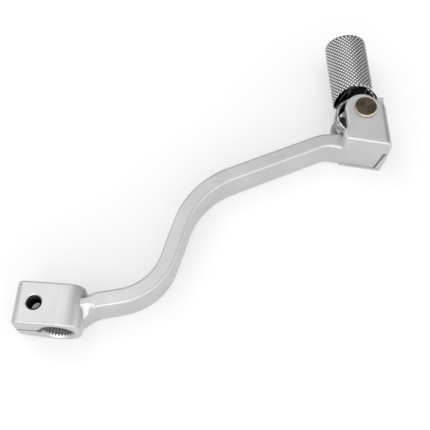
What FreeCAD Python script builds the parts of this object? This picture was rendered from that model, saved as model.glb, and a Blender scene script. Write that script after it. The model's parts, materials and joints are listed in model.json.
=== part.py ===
import FreeCAD, Part
import math
import os

os.makedirs("parts", exist_ok=True)
Vec = FreeCAD.Vector
UP = Vec(0, 0, 1)
ACROSS = Vec(0, 1, 0)

# Folding-tip shift lever, millimetres.
# Origin on the splined bore's axis at mid width. X runs along the lever, Y outboard along the bore, Z up.

# Clamp end
boss_radius = 8.7            # rounded end around the bore
boss_width = 15.6            # along the bore
boss_reach = 15.2            # bore axis to the free end
boss_corner = 3.0            # rounding of the free end's corners
boss_edge = 0.9              # rounding round the two side faces
boss_taper = 11.0            # degrees that the underside rises towards the free end
spline_root_radius = 6.0
spline_tip_radius = 5.5
spline_teeth = 30
spline_tip_share = 0.44      # share of the pitch that a tooth's flat tip takes
spline_root_share = 0.24     # share of the pitch that the flat between two teeth takes
spline_lead_in = 0.45        # chamfer at both mouths of the bore
slit_width = 0.8
slit_relief_radius = 1.5     # round relief where the slit opens into the bore
slit_relief_offset = 6.2     # bore axis to the relief's axis
pinch_offset = 8.0           # bore axis to the pinch-bolt axis
pinch_tap_radius = 2.5       # tapped upper half
pinch_clear_radius = 3.2     # clearance lower half
pinch_chamfer = 0.55
pinch_seat_radius = 5.2      # flat for the bolt head
pinch_seat_floor = 6.2       # below the bore axis

# Arm: a flat bar on edge that runs straight, bends outboard, then bends back
arm_thick = 5.8
arm_edge = 1.1               # rounding of the bar's four long edges
arm_first_heading = 14.8     # degrees from X
arm_first_run = 21.7
arm_first_bend = 21.5        # centre-line radius
arm_climb_heading = 76.7
arm_climb_run = 15.4
arm_second_bend = 32.6       # centre-line radius
arm_last_heading = 27.3
arm_last_run = 36.95
arm_root_bend = 12.0         # centre-line radius
arm_root_run = 9.55          # into the clevis
arm_floor_rise = 0.2         # underside above the boss's lowest line
arm_top_near = 6.6           # top above the bore axis, level with the bore
arm_top_far = 4.3            # top above the bore axis, at the clevis

# Neck: scooped on both sides, with a ridge that runs from the boss's top to the arm's top
neck_start = 4.0             # X of the first section, inside the boss
neck_end = 13.2              # X of the last section, which is the bar's own
neck_bury = 0.35             # first section's depth inside the boss
neck_sections = 8
neck_hollow = 1.4            # how strongly the scoops curve
neck_crest_half = 5.0        # ridge's half width at the boss
neck_crest_least = 0.8       # and at its narrowest
neck_crest_fade = 5          # how soon it narrows
neck_shoulder = 4.0          # how far the shoulders drop below the ridge at mid neck

# Clevis, in its own plan frame with the pin at (0, 0)
pin_ahead = 5.35             # arm's end to the pin, along the arm's root
front_to_arm = 7.05          # front's top edge to the arm's middle, at the pin
clevis_heading = 8.8         # degrees from Y to the toe peg
ear_radius = 6.7
ear_shift = 0.95             # ear's centre inboard of the pin
clevis_top = 13.0            # above the bore axis
clevis_right_near = 7.95     # pin to the outer side at the panel, at the top
clevis_right_far = 8.55      # pin to the outer side beside the pin, at the top
clevis_side_draft = 0.07     # how much the outer side leans in for each unit of drop
clevis_corner_start = 0.3    # where the outer side turns in towards the ear
clevis_top_round = 2.6       # rounding of the outer side's top edge
shoulder_left = 9.75         # pin to the shoulder that the arm runs into
shoulder_side = 3.2          # shoulder's own length, from the front's corner
shoulder_run = 2.3           # from there to where the ear's side turns out
shoulder_round = 1.6
front_depth = 15.1           # pin to the top edge of the front
front_skew = 14.2            # degrees that the front turns from the clevis's own cross line
band_out = 0.6               # how far the band above the panel slopes out
frame_floor_out = -0.35      # where the frame's foot stands
panel_out = -0.55            # panel's plane
panel_top = 6.2              # above the bore axis
panel_lip = 1.4              # lower lip's height
panel_right = 6.75           # pin to the panel's outer end at its top
panel_right_floor = 4.35
groove_wide = 0.5            # groove along the panel's outer end
groove_deep = 0.5
ear_thick = 3.4
ear_edge = 0.8               # rounding of the upper ear's top edge
lower_ear_radius = 8.6       # lower ear, under the whole spring
pocket_room = 0.8            # space round the spring
front_wall = 4.0             # front wall's thickness at the pin
pocket_right = 6.0           # pin to the stop wall's inner face
stop_reach = 6.4             # pin to the stop wall's end
root_fillet = 3.0            # bend between the arm's front and the panel

# Pivot pin
pin_radius = 3.8
pin_fit = 0.02               # radial gap in the ears
pin_head_radius = 4.55
pin_head_high = 1.1
pin_head_chamfer = 0.5
rivet_spread = 1.0           # how far the lower end is spread in its countersink
rivet_deep = 1.3
rivet_inset = 0.15           # lower end above the clevis's floor

# Toe peg
peg_radius = 8.4
peg_reach = 38.0             # pin to the far end
peg_chamfer = 0.9
peg_running_fit = 0.05       # radial gap on the pin
peg_side_gap = 0.3           # gap between tongue and lower ear
peg_stop_gap = 0.1           # gap between heel and stop wall
tongue_thick = 5.0
tongue_half_width = 5.3
scallop_radius = 11.4        # hollow in the barrel's near end, round the spring
leg_hole_gap = 0.2

# Return spring
wire_radius = 0.8
coil_radius = 7.5            # to the wire's middle
coil_shift = 2.5             # the coil lies against the pin on one side
coil_pitch = 1.75
coil_turns = 4
coil_leg_turn = 30.0         # degrees that the upper end goes past the lower one
coil_seat_gap = 0.25         # gap between the lowest turn and the tongue
leg_wall_gap = 0.3           # gap between the upper leg and the front wall
leg_peg = 13.5               # lower leg, into the peg

boss_floor = -boss_radius
arm_floor = boss_floor + arm_floor_rise
half_width = boss_width / 2.0
half_thick = arm_thick / 2.0
clevis_floor = boss_floor
gap_floor = clevis_floor + ear_thick
gap_top = clevis_top - ear_thick
peg_axis = (gap_floor + gap_top) / 2.0
pin_aside = front_depth - front_to_arm
pocket_wall = front_depth - front_wall
tongue_floor = gap_floor + peg_side_gap
tongue_top = tongue_floor + tongue_thick
over = 5.0                   # how far cutters run past what they cut


def direction(heading):
    return Vec(math.cos(math.radians(heading)), math.sin(math.radians(heading)), 0)


def left_of(vector):
    return Vec(-vector.y, vector.x, 0)


def prism(points, low, high):
    wire = Part.makePolygon([Vec(p.x, p.y, low) for p in points + points[:1]])
    return Part.Face(wire).extrude(UP * (high - low))


def box(low, high):
    size = high - low
    return Part.makeBox(size.x, size.y, size.z, low)


def crossing(point_a, along_a, point_b, along_b):
    gap = point_b - point_a
    turn = along_a.x * along_b.y - along_a.y * along_b.x
    return point_a + along_a * ((gap.x * along_b.y - gap.y * along_b.x) / turn)


def edges_where(shape, test):
    return [edge for edge in shape.Edges if test(edge)]


# Arm centre line: each stretch starts where the last one ends
class Course:
    def __init__(self, heading):
        self.point = Vec(0, 0, 0)
        self.heading = heading
        self.sides = {1: [], -1: []}

    def beside(self, side):
        return self.point + left_of(direction(self.heading)) * (side * half_thick)

    def run(self, length):
        starts = {side: self.beside(side) for side in self.sides}
        self.point = self.point + direction(self.heading) * length
        for side, edges in self.sides.items():
            edges.append(Part.LineSegment(starts[side], self.beside(side)).toShape())

    def bend(self, radius, heading):
        turn = 1 if heading > self.heading else -1
        centre = self.point + left_of(direction(self.heading)) * (turn * radius)
        headings = [self.heading, (self.heading + heading) / 2.0, heading]
        marks = {side: [] for side in self.sides}
        for self.heading in headings:
            self.point = centre - left_of(direction(self.heading)) * (turn * radius)
            for side in self.sides:
                marks[side].append(self.beside(side))
        for side, edges in self.sides.items():
            edges.append(Part.Arc(*marks[side]).toShape())

    def face(self):
        left, right = self.sides[1], self.sides[-1]
        first = Part.LineSegment(left[0].Vertexes[0].Point, right[0].Vertexes[0].Point).toShape()
        last = Part.LineSegment(self.beside(1), self.beside(-1)).toShape()
        return Part.Face(Part.Wire(Part.__sortEdges__(left + right + [first, last])))


course = Course(arm_first_heading)
course.run(arm_first_run)
course.bend(arm_first_bend, arm_climb_heading)
course.run(arm_climb_run)
course.bend(arm_second_bend, arm_last_heading)
course.run(arm_last_run)
course.bend(arm_root_bend, clevis_heading)
course.run(arm_root_run)
arm_end = course.point
root_way = direction(clevis_heading)
pin_point = arm_end + root_way * pin_ahead + left_of(root_way) * pin_aside
clevis_place = FreeCAD.Placement(pin_point, FreeCAD.Rotation(UP, clevis_heading))
to_clevis = clevis_place.inverse()


def top_at(x):
    return arm_top_near + (arm_top_far - arm_top_near) * x / arm_end.x


def boss():
    top, end = boss_radius, -boss_reach

    def at(x, z):
        return Vec(x, -half_width, z)

    def rim(angle):
        return at(boss_radius * math.sin(angle), -boss_radius * math.cos(angle))

    taper = -math.radians(boss_taper)
    foot = rim(taper)
    heel = at(end, foot.z + (foot.x - end) * math.tan(-taper))
    outline = Part.Wire([
        Part.Arc(foot, rim(math.pi / 2), at(0, top)).toShape(),
        Part.LineSegment(at(0, top), at(end, top)).toShape(),
        Part.LineSegment(at(end, top), heel).toShape(),
        Part.LineSegment(heel, foot).toShape(),
    ])
    block = Part.Face(outline).extrude(ACROSS * boss_width)
    corners = edges_where(block, lambda edge: edge.BoundBox.XMax < end + 0.1
                          and edge.BoundBox.YLength > half_width)
    block = block.makeFillet(boss_corner, corners)
    rims = edges_where(block, lambda edge: edge.BoundBox.YLength < boss_edge)
    return block.makeFillet(boss_edge, rims)


def neck():
    way = direction(arm_first_heading)
    slope = way.y / way.x
    bar_half = half_thick / way.x
    boss_half = half_width - neck_bury
    boss_high = math.sqrt(boss_radius ** 2 - neck_start ** 2) - neck_bury
    middle_start = neck_start * slope
    front_flare = middle_start - bar_half + boss_half
    back_flare = boss_half - middle_start - bar_half

    corner = arm_edge * (2 - math.sqrt(2))

    def section(share):
        x = neck_start + (neck_end - neck_start) * share
        middle = x * slope
        fade = (1 - share) ** neck_hollow
        front = middle - bar_half - front_flare * fade
        back = middle + bar_half + back_flare * fade
        crest = (neck_crest_least + (bar_half - corner - neck_crest_least) * share ** neck_crest_fade
                 + (neck_crest_half - neck_crest_least) * (1 - share) ** neck_crest_fade)
        top = top_at(x) + (boss_high - top_at(neck_start)) * (1 - share) ** 2
        floor = arm_floor - (boss_high + arm_floor) * (1 - share) ** 2
        shoulder = top - corner - neck_shoulder * 16 * (share * (1 - share)) ** 2
        corners = [(front + corner, floor), (front, floor + corner), (front, shoulder), (middle - crest, top),
                   (middle + crest, top), (back, shoulder), (back, floor + corner), (back - corner, floor)]
        points = [Vec(x, y, z) for y, z in corners]
        return Part.makePolygon(points + points[:1])

    shares = [step / (neck_sections - 1) for step in range(neck_sections)]
    return Part.makeLoft([section(share) for share in shares], True, False)


def front_line(out):
    way = direction(-front_skew)
    return Vec(0, -front_depth, 0) - left_of(way) * out, way


def on_front(out, u):
    point, way = front_line(out)
    return point + way * ((u - point.x) / way.x)


def clevis_right(v, z):
    along = 1 + v / front_depth
    at_top = clevis_right_near + (clevis_right_far - clevis_right_near) * along
    return at_top - (clevis_top - z) * clevis_side_draft


def frame_out(z):
    return frame_floor_out + (band_out - frame_floor_out) * (z - clevis_floor) / (panel_top - clevis_floor)


# The bar, with the web that joins its front to the panel
def arm():
    panel_point, panel_way = front_line(panel_out)
    side = to_clevis.multVec(course.beside(-1))
    start = crossing(side, Vec(1, 0, 0), panel_point, panel_way).x - half_thick
    end = -shoulder_left + ear_thick
    inside = side.y + half_thick / 2
    points = [on_front(panel_out, start), on_front(panel_out, end),
              Vec(end, inside, 0), Vec(start, inside, 0)]
    web = prism([clevis_place.multVec(point) for point in points], arm_floor, arm_top_near)
    bar = course.face().extrude(UP * (arm_top_near - arm_floor))
    bar.translate(UP * arm_floor)
    bar = bar.fuse(web).removeSplitter()
    reach = arm_end.x + over
    side = [(neck_end, arm_floor), (neck_end, top_at(neck_end)), (reach, top_at(reach)), (reach, arm_floor)]
    points = [Vec(x, -over, z) for x, z in side]
    slab = Part.Face(Part.makePolygon(points + points[:1]))
    slab = slab.extrude(ACROSS * (arm_end.y + 2 * over + arm_thick))
    bar = bar.common(slab).removeSplitter()

    def on_bend(edge):
        at = to_clevis.multVec(edge.CenterOfMass)
        upright = edge.BoundBox.ZLength > arm_thick
        return upright and at.x < -shoulder_left and abs(at.y - on_front(panel_out, at.x).y) < 0.01

    bar = bar.makeFillet(root_fillet, edges_where(bar, on_bend))
    stop = -shoulder_left + half_thick
    long_edges = edges_where(bar, lambda edge: edge.BoundBox.ZLength < arm_thick / 2
                             and edge.CenterOfMass.x > neck_end + 0.1
                             and to_clevis.multVec(edge.CenterOfMass).x < stop)
    return bar.makeFillet(arm_edge, long_edges)


def clevis_outline(z):
    out = frame_out(z)
    half = ear_radius * math.sqrt(0.5)
    centre = Vec(-ear_shift, 0, 0)
    ear_right = centre + Vec(half, half, 0)
    ear_far = centre + Vec(0, ear_radius, 0)
    ear_left = centre - Vec(ear_radius, 0, 0)
    front_right = on_front(out, clevis_right(-front_depth, z))
    shoulder = on_front(0, -shoulder_left) + ACROSS * shoulder_side
    corners = [ear_left, Vec(ear_left.x, shoulder.y + shoulder_run, 0), shoulder,
               on_front(out, -shoulder_left), front_right,
               Vec(clevis_right(clevis_corner_start, z), clevis_corner_start, 0), ear_right]
    edges = [Part.LineSegment(a, b).toShape() for a, b in zip(corners, corners[1:])]
    edges.append(Part.Arc(ear_right, ear_far, ear_left).toShape())
    outline = Part.Wire(edges)
    outline.translate(UP * z)
    return outline


def front_ring(left, right, out, z):
    corners = [on_front(out, left), on_front(out, right), on_front(2 * over, right), on_front(2 * over, left)]
    return Part.makePolygon([Vec(p.x, p.y, z) for p in corners + corners[:1]])


def clevis():
    block = Part.makeLoft([clevis_outline(clevis_floor), clevis_outline(clevis_top)], True, True)
    # Sloping band above the panel
    band_high = clevis_top - panel_top
    tilt = math.degrees(math.atan2(band_out, band_high))
    point, way = front_line(0)
    band = Part.makeBox(8 * over, 2 * over, 4 * over, Vec(-4 * over, -2 * over, -band_high - over))
    band.rotate(Vec(0, 0, 0), Vec(1, 0, 0), -tilt)
    band.rotate(Vec(0, 0, 0), UP, -front_skew)
    band.translate(point + UP * clevis_top)
    block = block.cut(band)
    uprights = edges_where(block, lambda edge: edge.BoundBox.ZLength > over
                           and edge.CenterOfMass.y < -ear_radius and edge.CenterOfMass.x < -over)
    block = block.makeFillet(shoulder_round, uprights)
    outer_top = edges_where(block, lambda edge: edge.BoundBox.ZMin > clevis_top - 0.01
                            and edge.CenterOfMass.x > clevis_right_near
                            and edge.CenterOfMass.y < 0)
    block = block.makeFillet(clevis_top_round, outer_top)
    ear_top = edges_where(block, lambda edge: edge.BoundBox.ZMin > clevis_top - 0.01
                          and edge.CenterOfMass.x < clevis_right_near - clevis_top_round)
    inner_line = clevis_right_far - clevis_top_round
    ear_top = [edge for edge in ear_top
               if edge.BoundBox.YLength < 2 * ear_radius or edge.BoundBox.XMax < inner_line]
    block = block.makeFillet(ear_edge, ear_top)
    # Panel sunk inside its frame, open towards the arm
    left = -shoulder_left - over
    lip = clevis_floor + panel_lip
    slant = (panel_right - panel_right_floor) / (panel_top - lip)
    panel, groove = [], []
    for z in (lip, panel_top):
        right = panel_right - slant * (panel_top - z)
        panel.append(front_ring(left, right, panel_out, z))
        groove.append(front_ring(right - groove_wide, right, panel_out - groove_deep, z))
    return block.cut([Part.makeLoft(panel, True, True), Part.makeLoft(groove, True, True)])


def pocket():
    coil_centre = Vec(-coil_shift, 0, gap_floor)
    room = coil_radius + wire_radius + pocket_room
    round_part = Part.makeCylinder(room, gap_top - gap_floor, coil_centre)
    near = box(Vec(-ear_radius, -pocket_wall, gap_floor), Vec(pocket_right, over, gap_top))
    far = box(Vec(-4 * over, 0, gap_floor), Vec(pocket_right, 4 * over, gap_top))
    return round_part.fuse([near, far])


def stop_wall():
    rings = []
    for z in (gap_floor, gap_top):
        corners = [Vec(pocket_right, -pocket_wall, z), Vec(clevis_right(-pocket_wall, z), -pocket_wall, z),
                   Vec(clevis_right(stop_reach, z), stop_reach, z), Vec(pocket_right, stop_reach, z)]
        rings.append(Part.makePolygon(corners + corners[:1]))
    return Part.makeLoft(rings, True, True)


def spline_cutter():
    pitch = 2 * math.pi / spline_teeth
    tip_half = pitch * spline_tip_share / 2
    root_half = pitch * spline_root_share / 2

    def at(radius, angle):
        return Vec(radius * math.sin(angle), -half_width - over, radius * math.cos(angle))

    edges = []
    for tooth in range(spline_teeth):
        tip = tooth * pitch
        root = tip + pitch / 2
        edges += [
            Part.Arc(at(spline_tip_radius, tip - tip_half), at(spline_tip_radius, tip),
                     at(spline_tip_radius, tip + tip_half)).toShape(),
            Part.LineSegment(at(spline_tip_radius, tip + tip_half),
                             at(spline_root_radius, root - root_half)).toShape(),
            Part.Arc(at(spline_root_radius, root - root_half), at(spline_root_radius, root),
                     at(spline_root_radius, root + root_half)).toShape(),
            Part.LineSegment(at(spline_root_radius, root + root_half),
                             at(spline_tip_radius, tip + pitch - tip_half)).toShape(),
        ]
    bore = Part.Face(Part.Wire(edges)).extrude(ACROSS * (boss_width + 2 * over))
    mouth_radius = spline_root_radius + spline_lead_in
    depth = mouth_radius - spline_tip_radius
    for side in (-1, 1):
        mouth = ACROSS * (side * half_width)
        cone = Part.makeCone(mouth_radius, spline_tip_radius, depth, mouth, ACROSS * -side)
        bore = bore.fuse(cone)
    return bore


def clamp_cuts():
    slit = box(Vec(-boss_reach - over, -half_width - over, -slit_width / 2),
               Vec(0, half_width + over, slit_width / 2))
    relief = Part.makeCylinder(slit_relief_radius, boss_width + 2 * over,
                               Vec(-slit_relief_offset, -half_width - over, 0), ACROSS)
    at = Vec(-pinch_offset, 0, 0)
    tapped = Part.makeCylinder(pinch_tap_radius, boss_radius + over, at)
    clear = Part.makeCylinder(pinch_clear_radius, boss_radius + over, at, UP * -1)
    mouth = Part.makeCone(pinch_tap_radius, pinch_tap_radius + pinch_chamfer, pinch_chamfer,
                          at + UP * (boss_radius - pinch_chamfer))
    seat = Part.makeCylinder(pinch_seat_radius, boss_radius, at - UP * pinch_seat_floor, UP * -1)
    return [spline_cutter(), slit, relief, tapped, clear, mouth, seat]


def pin_solid(gap):
    shaft_top = clevis_top
    low = clevis_floor + rivet_inset
    radius = pin_radius + gap
    spread = radius + rivet_spread
    profile = [(0, low), (spread, low), (radius, low + rivet_deep), (radius, shaft_top), (0, shaft_top)]
    wire = Part.makePolygon([Vec(r, 0, z) for r, z in profile + profile[:1]])
    return Part.Face(wire).revolve(Vec(0, 0, 0), UP, 360)


def pivot_pin():
    shaft = pin_solid(0)
    seat = clevis_top + pin_fit
    head = Part.makeCylinder(pin_head_radius, pin_head_high, UP * seat)
    crown = edges_where(head, lambda edge: edge.BoundBox.ZMin > seat + pin_head_high / 2
                        and edge.BoundBox.ZLength < 0.01)
    head = head.makeChamfer(pin_head_chamfer, crown)
    link = Part.makeCylinder(pin_radius, 2 * pin_fit, UP * (clevis_top - pin_fit))
    return shaft.fuse([head, link]).removeSplitter()


def lever_arm():
    lower_ear = Part.makeCylinder(lower_ear_radius, ear_thick, Vec(-coil_shift, 0, clevis_floor))
    fork = clevis().cut(pocket()).fuse([stop_wall(), lower_ear]).removeSplitter()
    outlet_floor = UP * (clevis_floor - over + rivet_inset)
    outlet = Part.makeCylinder(pin_radius + pin_fit + rivet_spread, over, outlet_floor)
    fork = fork.cut(pin_solid(pin_fit).fuse(outlet))
    fork.Placement = clevis_place
    clearance = pocket()
    clearance.Placement = clevis_place
    bar = arm().cut(clearance)
    body = boss().fuse([neck(), bar, fork]).removeSplitter()
    return body.cut(clamp_cuts())


def toe_peg():
    near = -tongue_half_width
    profile = [(0, near), (peg_radius, near), (peg_radius, peg_reach - peg_chamfer),
               (peg_radius - peg_chamfer, peg_reach), (0, peg_reach)]
    wire = Part.makePolygon([Vec(r, v, peg_axis) for r, v in profile + profile[:1]])
    bar = Part.Face(wire).revolve(UP * peg_axis, ACROSS, 360)
    low, high = peg_axis - peg_radius - over, peg_axis + peg_radius + over
    hollow = Part.makeCylinder(scallop_radius, high - low, UP * low)
    heel = stop_reach + peg_stop_gap
    eye = Part.makeCylinder(tongue_half_width, tongue_thick, UP * tongue_floor)
    shank_end = Vec(tongue_half_width, 2 * scallop_radius, tongue_top)
    shank = box(Vec(-tongue_half_width, 0, tongue_floor), shank_end)
    heel_block = box(Vec(0, heel, tongue_floor), Vec(2 * peg_radius, 2 * scallop_radius, tongue_top))
    tongue = eye.fuse([shank, heel_block])
    peg = bar.cut(hollow.cut(tongue))
    bore = Part.makeCylinder(pin_radius + peg_running_fit, high - low, UP * low)
    return peg.cut([bore, lower_leg(wire_radius + leg_hole_gap, leg_peg + leg_hole_gap)])


def coil_start():
    return Vec(coil_radius - coil_shift, 0, tongue_top + coil_seat_gap + wire_radius)


def lower_leg(radius, length):
    return Part.makeCylinder(radius, length, coil_start(), ACROSS)


# Left-hand coil: wound right-handed, then mirrored across the plane through the pin
def return_spring():
    turns = coil_turns + coil_leg_turn / 360.0
    start = coil_start()
    helix = Part.makeHelix(coil_pitch, coil_pitch * turns, coil_radius)
    helix.translate(Vec(-coil_shift, 0, start.z))
    ring = Part.Wire(Part.makeCircle(wire_radius, start, ACROSS))
    coil = Part.Wire(helix.Edges).makePipeShell([ring], True, True)
    way = direction(coil_leg_turn)
    end = Vec(-coil_shift, 0, start.z + coil_pitch * turns) + way * coil_radius
    upper_way = left_of(way)
    reach = (pocket_wall - leg_wall_gap - end.y - wire_radius * way.y) / upper_way.y
    upper = Part.makeCylinder(wire_radius, reach, end, upper_way)
    joints = [Part.makeSphere(wire_radius, start), Part.makeSphere(wire_radius, end)]
    wound = coil.fuse([upper] + joints).mirror(Vec(0, 0, 0), ACROSS)
    return wound.fuse(lower_leg(wire_radius, leg_peg)).removeSplitter()


def place_and_write(name, shape, place):
    shape = shape.copy()
    shape.Placement = place.multiply(shape.Placement)
    shape.exportStep(os.path.join("parts", name + ".step"))
    print(name, "solids", len(shape.Solids), "valid", shape.isValid(), "volume", round(shape.Volume, 1))


here = FreeCAD.Placement()
place_and_write("lever_arm", lever_arm(), here)
place_and_write("toe_peg", toe_peg(), clevis_place)
place_and_write("pivot_pin", pivot_pin(), clevis_place)
place_and_write("return_spring", return_spring(), clevis_place)
print("pin at", pin_point, "peg axis height", peg_axis)
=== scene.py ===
import bpy
import bmesh
import json
import math
from mathutils import Matrix, Vector


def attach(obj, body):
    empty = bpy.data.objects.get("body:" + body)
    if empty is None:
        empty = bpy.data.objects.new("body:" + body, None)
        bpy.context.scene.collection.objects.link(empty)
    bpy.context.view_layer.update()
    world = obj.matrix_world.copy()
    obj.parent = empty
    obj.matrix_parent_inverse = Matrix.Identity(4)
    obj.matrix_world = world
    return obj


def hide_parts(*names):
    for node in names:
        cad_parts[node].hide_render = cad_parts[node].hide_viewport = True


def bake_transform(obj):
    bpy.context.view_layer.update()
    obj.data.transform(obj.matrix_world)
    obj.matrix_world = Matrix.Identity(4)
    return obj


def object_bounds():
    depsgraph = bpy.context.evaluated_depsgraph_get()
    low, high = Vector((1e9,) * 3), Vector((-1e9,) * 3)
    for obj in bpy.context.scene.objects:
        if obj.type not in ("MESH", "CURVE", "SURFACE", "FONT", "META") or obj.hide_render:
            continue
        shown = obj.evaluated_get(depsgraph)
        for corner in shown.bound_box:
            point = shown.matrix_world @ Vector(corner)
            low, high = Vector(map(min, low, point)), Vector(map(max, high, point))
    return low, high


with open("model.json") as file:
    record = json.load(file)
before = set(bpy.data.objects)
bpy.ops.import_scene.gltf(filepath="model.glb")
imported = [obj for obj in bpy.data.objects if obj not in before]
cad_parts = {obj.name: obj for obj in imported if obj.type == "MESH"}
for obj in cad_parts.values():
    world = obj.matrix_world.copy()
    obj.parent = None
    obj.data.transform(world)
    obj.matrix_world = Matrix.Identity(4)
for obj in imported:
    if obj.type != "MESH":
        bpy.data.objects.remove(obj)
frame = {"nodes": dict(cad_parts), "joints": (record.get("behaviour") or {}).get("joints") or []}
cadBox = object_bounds()
mm = 0.001
pinAxis = Vector(frame["joints"][0]["pos_m"])
clevisHeading = math.radians(8.8)  # clevis and peg are turned this far about the pin
pinchCentre = (-8.0 * mm, 0.0)  # the pinch hole's middle, seen from above
print("frame loaded:", sorted(frame["nodes"]))


# A socket with operators: sums and products of sockets add their Math nodes
class Flow:
    def __init__(self, tree, socket=None):
        self.tree = tree
        self.socket = socket

    def node(self, kind, settings=None, inputs=None, out=0):
        made = self.tree.nodes.new(kind)
        for name, value in (settings or {}).items():
            setattr(made, name, value)
        for name, value in (inputs or {}).items():
            if isinstance(value, Flow):
                self.tree.links.new(value.socket, made.inputs[name])
            else:
                made.inputs[name].default_value = value
        return Flow(self.tree, made.outputs[out] if made.outputs else None)

    def other(self, name):  # another output of the same node
        return Flow(self.tree, self.socket.node.outputs[name])

    def split(self):  # x, y and z of a vector
        parts = self.node("ShaderNodeSeparateXYZ", inputs={0: self})
        return [parts.other(axis) for axis in "XYZ"]

    def math(self, operation, first, second=0.0, clamp=False):
        settings = {"operation": operation, "use_clamp": clamp}
        return self.node("ShaderNodeMath", settings, {0: first, 1: second})

    def __add__(self, other):
        return self.math("ADD", self, other)

    def __sub__(self, other):
        return self.math("SUBTRACT", self, other)

    def __rsub__(self, other):
        return self.math("SUBTRACT", other, self)

    def __mul__(self, other):
        return self.math("MULTIPLY", self, other)

    def __pow__(self, other):
        return self.math("POWER", self, other)

    __radd__ = __add__
    __rmul__ = __mul__

    def span(self, low, high):  # 0 below low, 1 above high
        settings = {"interpolation_type": "SMOOTHSTEP"}
        return self.node("ShaderNodeMapRange", settings, {0: self, 1: low, 2: high, 3: 0.0, 4: 1.0})

    def blend(self, first, second):  # this value mixes two colours
        settings = {"data_type": "RGBA", "clamp_factor": True}
        return self.node("ShaderNodeMix", settings, {0: self, 6: first, 7: second}, out=2)


def newFinish(name):
    material = bpy.data.materials.new(name)
    material.use_nodes = True
    material.node_tree.nodes.clear()
    return material, Flow(material.node_tree)


def closeFinish(flow, sockets, height=None, strength=0.0, depth=0.0):
    sockets = dict(sockets)
    if height is not None:
        bump = {"Strength": strength, "Distance": depth, "Height": height}
        sockets["Normal"] = flow.node("ShaderNodeBump", inputs=bump)
    shader = flow.node("ShaderNodeBsdfPrincipled", inputs=sockets)
    flow.node("ShaderNodeOutputMaterial", inputs={"Surface": shader})


def objectPoint(flow, location=(0, 0, 0), rotation=(0, 0, 0), scale=(1, 1, 1)):
    coords = flow.node("ShaderNodeTexCoord", out="Object")
    sockets = {"Vector": coords, "Location": location, "Rotation": rotation, "Scale": scale}
    return flow.node("ShaderNodeMapping", {"vector_type": "POINT"}, sockets)


def noise(flow, point, scale, detail, roughness=0.55):
    sockets = {"Vector": point, "Scale": scale, "Detail": detail, "Roughness": roughness}
    return flow.node("ShaderNodeTexNoise", inputs=sockets)


def length(first, second):  # distance from the axis that the two are measured from
    return (first * first + second * second) ** 0.5


def dress(obj, material):
    obj.data.materials.clear()
    obj.data.materials.append(material)


def place(name, bm, matrix=None):
    if matrix is not None:
        bm.transform(matrix)
    mesh = bpy.data.meshes.new(name)
    bm.to_mesh(mesh)
    bm.free()
    obj = bpy.data.objects.new(name, mesh)
    bpy.context.scene.collection.objects.link(obj)
    return obj


# Forged alloy lever, with painted shade in the pinch hole and in the spring pocket
alloy = {
    "bright": (0.60, 0.60, 0.605, 1),
    "dull": (0.52, 0.52, 0.527, 1),
    "cloud": (90.0, 4.0),  # a noise's scale and detail
    "grain": (2600.0, 2.0, 0.7),  # and roughness
    "cloudShare": 0.6,
    "grainShare": 0.4,
    "dullTo": 0.3,  # the mixed noise is dull up to here
    "brightFrom": 0.75,
    "metallic": 0.9,
    "roughness": 0.30,
    "cloudRough": 0.08,
    "grainRough": 0.1,
    "bump": 0.12,
    "bumpDepth": 0.05 * mm,
    # painted shade, for the pinch hole and the spring pocket
    "paintedShade": (0.03, 0.03, 0.03, 1),
    "holeShadeRadius": 2.6 * mm,
    "holeShadeFade": 0.15 * mm,
    "pocketLow": Vector((-9.0, -11.4, -7.5)) * mm,  # corners of the pocket, from the pin
    "pocketHigh": Vector((6.1, 8.0, 7.5)) * mm,
    "pocketFade": 0.08 * mm,
    "pocketShade": 0.93,
}


def pocketMask(flow):  # 1 inside the spring pocket, where shade is painted, in the clevis's own frame
    back = (Matrix.Translation(pinAxis) @ Matrix.Rotation(clevisHeading, 4, "Z")).inverted()
    axes = objectPoint(flow, back.translation, back.to_euler()).split()
    fade = alloy["pocketFade"]
    mask = 1.0
    for along, low, high in zip(axes, alloy["pocketLow"], alloy["pocketHigh"]):
        mask = mask * along.span(low, low + fade) * (1 - along.span(high - fade, high))
    return mask


def alloyFinish():
    material, flow = newFinish("tumbledAlloy")
    point = objectPoint(flow)
    cloud = noise(flow, point, *alloy["cloud"])
    grain = noise(flow, point, *alloy["grain"])
    tone = cloud * alloy["cloudShare"] + grain * alloy["grainShare"]
    colour = tone.span(alloy["dullTo"], alloy["brightFrom"]).blend(alloy["dull"], alloy["bright"])
    x, y = point.split()[:2]
    fromHole = length(x - pinchCentre[0], y - pinchCentre[1])
    # painted shade: the pinch hole's inside and the spring pocket are darkened
    paintedShade = 1 - fromHole.span(alloy["holeShadeRadius"], alloy["holeShadeRadius"] + alloy["holeShadeFade"])
    dark = flow.math("MAXIMUM", paintedShade, pocketMask(flow) * alloy["pocketShade"])
    colour = dark.blend(colour, alloy["paintedShade"])
    rough = alloy["roughness"] + cloud * alloy["cloudRough"] + grain * alloy["grainRough"]
    sockets = {"Base Color": colour, "Metallic": alloy["metallic"], "Roughness": rough}
    closeFinish(flow, sockets, grain, alloy["bump"], alloy["bumpDepth"])
    return material


forged = alloyFinish()
dress(frame["nodes"]["lever_arm"], forged)
print("lever dressed")

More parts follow.
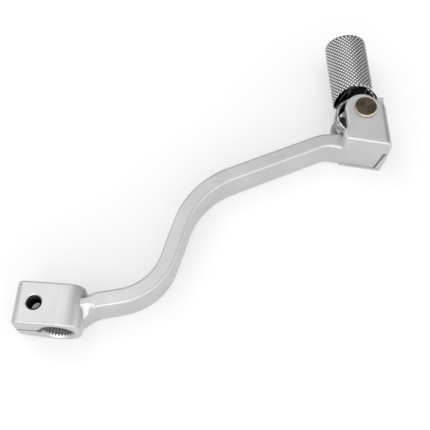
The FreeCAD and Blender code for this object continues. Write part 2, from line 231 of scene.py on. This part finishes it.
# Knurled toe peg: diamonds raised on a barrel, its near end hollowed round the spring
peg = {
    "radius": 8.55 * mm,
    "near": 5.3 * mm,  # the barrel's two ends, from the pin
    "reach": 38.0 * mm,
    "shift": -1.6 * mm,  # the barrel's axis lies this far beside the pin
    "turn": math.radians(-1.3),
    "starts": 32,
    "rows": 40,
    "depth": 0.55 * mm,
    "flat": 0.2 * mm,  # on each diamond
    "endRound": 1.2 * mm,
    "hollow": 12.0 * mm,
    "hollowAside": -2.0 * mm,
    "keepRim": 0.6 * mm,  # the tongue is kept this far past the hollow
    "drumHeight": 34.2 * mm,
    "drumSides": 128,
    "sharpFrom": math.radians(24),
    "plate": (0.86, 0.86, 0.87, 1),
    # painted shade in the knurl's grooves
    "grooveShade": (0.03, 0.03, 0.032, 1),
    # painted shade in the hollow round the spring
    "hollowShade": (0.03, 0.03, 0.03, 1),
    "cover": 0.95,
    "grooveFrom": 0.3,  # these four are shares of the knurl's depth, down from its tops
    "grooveTo": 0.95,
    "coreFrom": 1.6,
    "coreTo": 2.2,
    "hollowShadeFrom": 0.02 * mm,  # past the hollow's wall
    "hollowShadeTo": 0.15 * mm,
    "speckle": (1800.0, 2.0),
    "roughness": 0.12,
    "speckleRough": 0.08,
    "grooveRough": 0.3,
    "metallic": 1.0,
}
pegPlace = (Matrix.Translation(pinAxis) @ Matrix.Rotation(clevisHeading, 4, "Z")
            @ Matrix.Translation((peg["shift"], 0, 0)) @ Matrix.Rotation(peg["turn"], 4, "Z"))


def knurledBar():
    bm = bmesh.new()
    size = peg["radius"]
    long = peg["reach"] - peg["near"]
    columns = 2 * peg["starts"]
    rows = peg["rows"]
    bmesh.ops.create_cone(bm, cap_ends=False, segments=columns, radius1=size, radius2=size, depth=long)
    upright = [e for e in bm.edges if abs(e.verts[0].co.z - e.verts[1].co.z) > long / 2]
    bmesh.ops.subdivide_edges(bm, edges=upright, cuts=rows - 1, use_grid_fill=True)
    tops = []
    for v in bm.verts:
        column = round(math.atan2(v.co.y, v.co.x) / (2 * math.pi / columns))
        row = round((v.co.z + long / 2) / (long / rows))
        past = max(0.0, v.co.z - long / 2 + peg["endRound"])
        shrink = peg["endRound"] - math.sqrt(max(0.0, peg["endRound"] ** 2 - past ** 2))
        groove = (column + row) % 2 == 0
        scale = 1 - (shrink + (peg["depth"] if groove else 0)) / size
        v.co.x *= scale
        v.co.y *= scale
        if not groove and 0 < row < rows - 1:
            tops.append(v)
    bmesh.ops.triangulate(bm, faces=bm.faces[:], quad_method="SHORT_EDGE")
    bmesh.ops.bevel(bm, geom=tops, offset=peg["flat"], affect="VERTICES", segments=1, profile=0.5,
                    material=-1)
    for high in (False, True):
        rim = [e for e in bm.edges if e.is_boundary and (e.verts[0].co.z > 0) == high]
        bmesh.ops.contextual_create(bm, geom=rim)
    bmesh.ops.recalc_face_normals(bm, faces=bm.faces[:])
    middle = Matrix.Translation((0, (peg["reach"] + peg["near"]) / 2, 0))
    return place("knurled_peg", bm, pegPlace @ middle @ Matrix.Rotation(-math.pi / 2, 4, "X"))


def drum(name, radius, aside=0.0):  # a cutter round the pin
    bm = bmesh.new()
    bmesh.ops.create_cone(bm, cap_ends=True, segments=peg["drumSides"], radius1=radius, radius2=radius,
                          depth=peg["drumHeight"])
    beside = Matrix.Rotation(clevisHeading, 4, "Z") @ Matrix.Translation((aside, 0, 0))
    return place(name, bm, Matrix.Translation(pinAxis) @ beside)


def join(target, tool, operation):
    modifier = target.modifiers.new(operation.lower(), "BOOLEAN")
    modifier.solver = "EXACT"
    modifier.operation = operation
    modifier.object = tool


def settle(obj):  # the modifiers' result becomes the mesh
    evaluated = obj.evaluated_get(bpy.context.evaluated_depsgraph_get())
    mesh = bpy.data.meshes.new_from_object(evaluated)
    obj.modifiers.clear()
    obj.data = mesh
    mesh.name = obj.name


def smooth(obj, angle):  # edges sharper than the angle stay sharp
    obj.data.shade_smooth()
    obj.data.set_sharp_from_angle(angle=angle)


mergeDistance = 0.002 * mm


def cadCopy(node, name):  # a node's loose triangles, merged
    bm = bmesh.new()
    bm.from_mesh(frame["nodes"][node].data)
    bmesh.ops.remove_doubles(bm, verts=bm.verts[:], dist=mergeDistance)
    return place(name, bm)


def pegPiece():
    bar = knurledBar()
    hollow = drum("hollow", peg["hollow"], peg["hollowAside"])
    keep = drum("keep", peg["hollow"] + peg["keepRim"])
    tongue = cadCopy("toe_peg", "tongue")
    join(tongue, keep, "INTERSECT")
    settle(tongue)
    join(bar, hollow, "DIFFERENCE")
    join(bar, tongue, "UNION")
    settle(bar)
    for tool in (hollow, keep, tongue):
        bpy.data.objects.remove(tool)
    smooth(bar, peg["sharpFrom"])
    return bar


def belowTops(share):  # the radius at a share of the knurl's depth
    return peg["radius"] - share * peg["depth"]


def pegFinish():  # bright plate, with painted shade in the knurl's grooves and in the hollow
    material, flow = newFinish("knurledPlate")
    back = pegPlace.inverted()
    across, along, high = objectPoint(flow, back.translation, back.to_euler()).split()
    fromPin = length(across - (peg["hollowAside"] - peg["shift"]), along)
    # painted shade on the hollow's wall and the tongue inside it
    hollowShade = 1 - fromPin.span(peg["hollow"] + peg["hollowShadeFrom"], peg["hollow"] + peg["hollowShadeTo"])
    fromAxis = length(across, high)
    # painted shade down in the knurl's grooves, not in the core below them
    groove = 1 - fromAxis.span(belowTops(peg["grooveTo"]), belowTops(peg["grooveFrom"]))
    grooveShade = groove * fromAxis.span(belowTops(peg["coreTo"]), belowTops(peg["coreFrom"]))
    speckle = noise(flow, objectPoint(flow), *peg["speckle"])
    colour = (grooveShade * peg["cover"]).blend(peg["plate"], peg["grooveShade"])
    colour = (hollowShade * peg["cover"]).blend(colour, peg["hollowShade"])
    rough = peg["roughness"] + speckle * peg["speckleRough"] + grooveShade * peg["grooveRough"]
    closeFinish(flow, {"Base Color": colour, "Metallic": peg["metallic"], "Roughness": rough})
    return material


knurled = pegPiece()
dress(knurled, pegFinish())
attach(knurled, "peg")
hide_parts("toe_peg")
print("peg knurled:", len(knurled.data.polygons), "faces")

# Pivot pin: dark turned head with a bright bevel
pin = {
    "dark": (0.055, 0.045, 0.030, 1),
    "light": (0.12, 0.10, 0.072, 1),
    "bevelColour": (0.44, 0.40, 0.34, 1),
    "head": 4.55 * mm,
    "bevel": 0.5 * mm,
    "bevelFrom": 1.1,  # shares of the bevel, in from the head's rim
    "bevelTo": 0.8,
    "ringPitch": 0.35 * mm,
    "ringShare": 0.1,
    "cloud": (260.0, 4.0),
    "sheenSectors": 2.0,  # painted sheen: light sectors across the turned face
    "sheenTurn": 0.6,
    "sheenShare": 0.12,
    "darkTo": 0.3,
    "lightFrom": 0.75,
    "metallic": 0.95,
    "roughness": 0.34,
    "cloudRough": 0.12,
    "bevelGloss": 0.12,
    "bump": 0.15,
    "bumpDepth": 0.02 * mm,
}


def pinFinish():
    material, flow = newFinish("oilBlackedSteel")
    point = objectPoint(flow, tuple(-pinAxis))
    x, y = point.split()[:2]
    radius = length(x, y)
    rings = flow.math("SINE", radius * (2 * math.pi / pin["ringPitch"]))
    cloud = noise(flow, point, *pin["cloud"])
    # painted sheen: two light sectors round the turned face
    sheen = flow.math("SINE", flow.math("ARCTAN2", y, x) * pin["sheenSectors"] - pin["sheenTurn"])
    tone = cloud + rings * pin["ringShare"] + sheen * pin["sheenShare"]
    colour = tone.span(pin["darkTo"], pin["lightFrom"]).blend(pin["dark"], pin["light"])
    inner = pin["head"] - pin["bevel"] * pin["bevelFrom"]
    outer = pin["head"] - pin["bevel"] * pin["bevelTo"]
    edge = radius.span(inner, outer)
    colour = edge.blend(colour, pin["bevelColour"])
    rough = pin["roughness"] + cloud * pin["cloudRough"] - edge * pin["bevelGloss"]
    sockets = {"Base Color": colour, "Metallic": pin["metallic"], "Roughness": rough}
    closeFinish(flow, sockets, rings, pin["bump"], pin["bumpDepth"])
    return material


dress(frame["nodes"]["pivot_pin"], pinFinish())
print("pin dressed")

# Return spring between the lever and the peg, copied from the part as modelled
spring = {
    "colour": (0.60, 0.60, 0.62, 1),
    # dark streaks of the drawn wire, deepened as painted shade over the coil
    "drawnShade": (0.16, 0.16, 0.17, 1),
    "streak": (700.0, 3.0),
    "stretch": (1, 1, 6),
    "drawnShadeTo": 0.35,
    "brightFrom": 0.7,
    "metallic": 1.0,
    "roughness": 0.22,
    "streakRough": 0.15,
    "inset": 1.6 * mm,
}


def springFinish():
    material, flow = newFinish("springWire")
    streak = noise(flow, objectPoint(flow, scale=spring["stretch"]), *spring["streak"])
    # drawn streaks; their dark end is painted shade
    bright = streak.span(spring["drawnShadeTo"], spring["brightFrom"])
    colour = bright.blend(spring["drawnShade"], spring["colour"])
    rough = spring["roughness"] + streak * spring["streakRough"]
    closeFinish(flow, {"Base Color": colour, "Metallic": spring["metallic"], "Roughness": rough})
    return material


coil = cadCopy("return_spring", "wound_spring")
coil.data.shade_smooth()
dress(coil, springFinish())
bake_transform(coil)
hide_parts("return_spring")

# Thread in the pinch hole: one ridge swept round and up
thread = {
    "radius": 2.52 * mm,
    "crest": 2.15 * mm,
    "pitch": 1.0 * mm,
    "ridge": 0.84,  # the ridge's foot, as a share of the pitch
    "low": 1.0 * mm,
    "turns": 7,
    "steps": 28,  # in a turn
}


def pinchThread():
    bm = bmesh.new()
    half = thread["ridge"] * thread["pitch"] / 2
    corners = [(thread["radius"], -half), (thread["crest"], 0), (thread["radius"], half)]
    verts = [bm.verts.new((x, 0, z)) for x, z in corners]
    edges = [bm.edges.new((a, b)) for a, b in zip(verts, verts[1:] + verts[:1])]
    steps = thread["turns"] * thread["steps"]
    rise = thread["pitch"] / thread["steps"]
    bmesh.ops.spin(bm, geom=verts + edges, cent=(0, 0, 0), axis=(0, 0, 1), dvec=(0, 0, rise),
                   angle=2 * math.pi * thread["turns"], steps=steps, use_merge=False)
    bmesh.ops.holes_fill(bm, edges=[e for e in bm.edges if e.is_boundary], sides=3)
    bmesh.ops.recalc_face_normals(bm, faces=bm.faces[:])
    return place("pinch_thread", bm, Matrix.Translation((*pinchCentre, thread["low"])))


ridge = pinchThread()
dress(ridge, forged)
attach(ridge, "lever")
print("thread swept")

# Clamp shoulder: the clamp's flat top runs on past the bore, then turns down
shoulder = {
    "radius": 8.698 * mm,  # a hair under the clamp's top, so that no step shows
    "lead": 0.6 * mm,  # it begins this far inside the clamp
    "flat": 3.6 * mm,
    "halfWidth": 7.82 * mm,
    "clear": 7.2 * mm,  # the inner arc stays this far from the bore's axis
    "arcSteps": 16,
    "crownSteps": 16,
    "edge": 0.9 * mm,
    "edgeSteps": 4,
    "sharpFrom": math.radians(30),
    "onEdge": 0.99,  # a point past this share of a size lies on that edge
}


def clampShoulder():
    bm = bmesh.new()
    size = shoulder["radius"]
    half = shoulder["halfWidth"]
    clear = shoulder["clear"]
    lead = shoulder["lead"]
    first = bm.verts.new((0, -half, clear))
    arc = bmesh.ops.spin(bm, geom=[first], cent=(0, 0, 0), axis=(0, 1, 0), dvec=(0, 0, 0),
                         angle=math.pi / 2, steps=shoulder["arcSteps"], use_merge=False)
    last = arc["geom_last"][0]
    corners = ((size, 0), (size, size), (-lead, size), (-lead, clear))
    outer = [bm.verts.new((x, -half, z)) for x, z in corners]
    for start, end in zip([last] + outer, outer + [first]):
        bm.edges.new((start, end))
    bmesh.ops.contextual_create(bm, geom=bm.edges[:])
    sides = bmesh.ops.extrude_face_region(bm, geom=bm.faces[:])["geom"]
    moved = [v for v in sides if isinstance(v, bmesh.types.BMVert)]
    bmesh.ops.translate(bm, vec=(0, 2 * half, 0), verts=moved)
    bmesh.ops.recalc_face_normals(bm, faces=bm.faces[:])
    farOut = shoulder["onEdge"] * size
    farAside = shoulder["onEdge"] * half
    crown = [e for e in bm.edges if all(v.co.x > farOut and v.co.z > farOut for v in e.verts)]
    bmesh.ops.bevel(bm, geom=crown, offset=size - shoulder["flat"], affect="EDGES",
                    segments=shoulder["crownSteps"], profile=0.5, material=-1)
    rims = [e for e in bm.edges
            if all(abs(v.co.y) > farAside and v.co.xz.length > farOut for v in e.verts)]
    bmesh.ops.bevel(bm, geom=rims, offset=shoulder["edge"], affect="EDGES",
                    segments=shoulder["edgeSteps"], profile=0.5, material=-1)
    block = place("clamp_shoulder", bm)
    smooth(block, shoulder["sharpFrom"])
    return block


raised = clampShoulder()
dress(raised, forged)
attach(raised, "lever")
print("shoulder raised")

# Floor, sky and lamps
stage = {
    "floor": (0.58, 0.58, 0.58, 1),
    "floorSize": 3.0,
    "lift": 0.36,  # added to the floor where the camera or a reflection sees it
    "white": (1, 1, 1, 1),
    "skyTilt": (-0.35, -0.25, 0.90),  # the sky is brightest this way
    "base": 0.34,
    "slope": 1.0,
    "least": 0.12,
    "side": (0.62, -0.78, 0.0),  # a low glow in front, to the right
    "sideFrom": 0.10,
    "sideTo": 0.45,
    "sideGlow": 1.4,
    "glowLow": 0.40,  # the glow fades out between these heights
    "glowHigh": 0.65,
    "lampTarget": (0.06, 0.04, 0.0),
    "lamps": (("key", (-0.35, 0.40, 0.85), 0.5, 0.6),  # name, place, size and power
              ("rim", (0.1, -0.8, 0.35), 0.4, 0.4)),
}


def stageFloor():
    bm = bmesh.new()
    bmesh.ops.create_grid(bm, x_segments=1, y_segments=1, size=stage["floorSize"])
    floor = place("floor", bm, Matrix.Translation((0, 0, cadBox[0][2])))
    material, flow = newFinish("paleFloor")
    camera = flow.node("ShaderNodeLightPath", out="Is Camera Ray")
    seen = flow.math("ADD", camera, camera.other("Is Glossy Ray"), clamp=True)
    seen = flow.math("ADD", seen, camera.other("Is Transmission Ray"), clamp=True)
    plain = flow.node("ShaderNodeBsdfDiffuse", inputs={"Color": stage["floor"]})
    glow = flow.node("ShaderNodeEmission", inputs={"Color": stage["white"], "Strength": stage["lift"]})
    bright = flow.node("ShaderNodeAddShader", inputs={0: plain, 1: glow})
    mixed = flow.node("ShaderNodeMixShader", inputs={0: seen, 1: plain, 2: bright})
    flow.node("ShaderNodeOutputMaterial", inputs={"Surface": mixed})
    dress(floor, material)


def stageSky():
    world = bpy.data.worlds.new("studio")
    bpy.context.scene.world = world
    world.use_nodes = True
    world.node_tree.nodes.clear()
    flow = Flow(world.node_tree)
    coords = flow.node("ShaderNodeTexCoord", out="Generated")
    dot = {"operation": "DOT_PRODUCT"}
    toward = flow.node("ShaderNodeVectorMath", dot, {0: coords, 1: stage["skyTilt"]}, out="Value")
    side = flow.node("ShaderNodeVectorMath", dot, {0: coords, 1: stage["side"]}, out="Value")
    height = flow.node("ShaderNodeVectorMath", dot, {0: coords, 1: (0, 0, 1)}, out="Value")
    lowDown = 1 - height.span(stage["glowLow"], stage["glowHigh"])
    glow = side.span(stage["sideFrom"], stage["sideTo"]) * lowDown
    sky = flow.math("MAXIMUM", toward * stage["slope"] + stage["base"], stage["least"])
    level = sky + glow * stage["sideGlow"]
    light = flow.node("ShaderNodeBackground", inputs={"Color": stage["white"], "Strength": level})
    flow.node("ShaderNodeOutputWorld", inputs={"Surface": light})


def lamp(name, location, size, power):
    light = bpy.data.lights.new(name, "AREA")
    light.size = size
    light.energy = power
    obj = bpy.data.objects.new(name, light)
    obj.location = location
    aim = Vector(stage["lampTarget"]) - Vector(location)
    obj.rotation_euler = aim.to_track_quat("-Z", "Y").to_euler()
    bpy.context.scene.collection.objects.link(obj)


# Camera at the photograph's viewing angle
shot = {
    "location": (0.06156, -0.08357, 0.26295),
    "turn": math.radians(-4.39),
    "tilt": math.radians(64.36),  # down from level
    "focal": 771.4,  # in pixels of the frame
    "frame": 430.0,
    "sensor": 36.0,
    "clipStart": 0.01,
}


def photoCamera():
    data = bpy.data.cameras.new("shot")
    data.sensor_width = shot["sensor"]
    data.lens = shot["focal"] / shot["frame"] * shot["sensor"]
    data.clip_start = shot["clipStart"]
    camera = bpy.data.objects.new("shot", data)
    ahead = Vector((math.sin(shot["turn"]), math.cos(shot["turn"]), 0))
    right = Vector((ahead.y, -ahead.x, 0))
    view = ahead * math.cos(shot["tilt"]) - Vector((0, 0, math.sin(shot["tilt"])))
    matrix = Matrix((right, right.cross(view), -view)).transposed().to_4x4()
    matrix.translation = shot["location"]
    camera.matrix_world = matrix
    bpy.context.scene.collection.objects.link(camera)
    bpy.context.scene.camera = camera


stageFloor()
stageSky()
for settings in stage["lamps"]:
    lamp(*settings)
photoCamera()
bpy.context.scene.view_settings.view_transform = "Standard"
print("stage set")
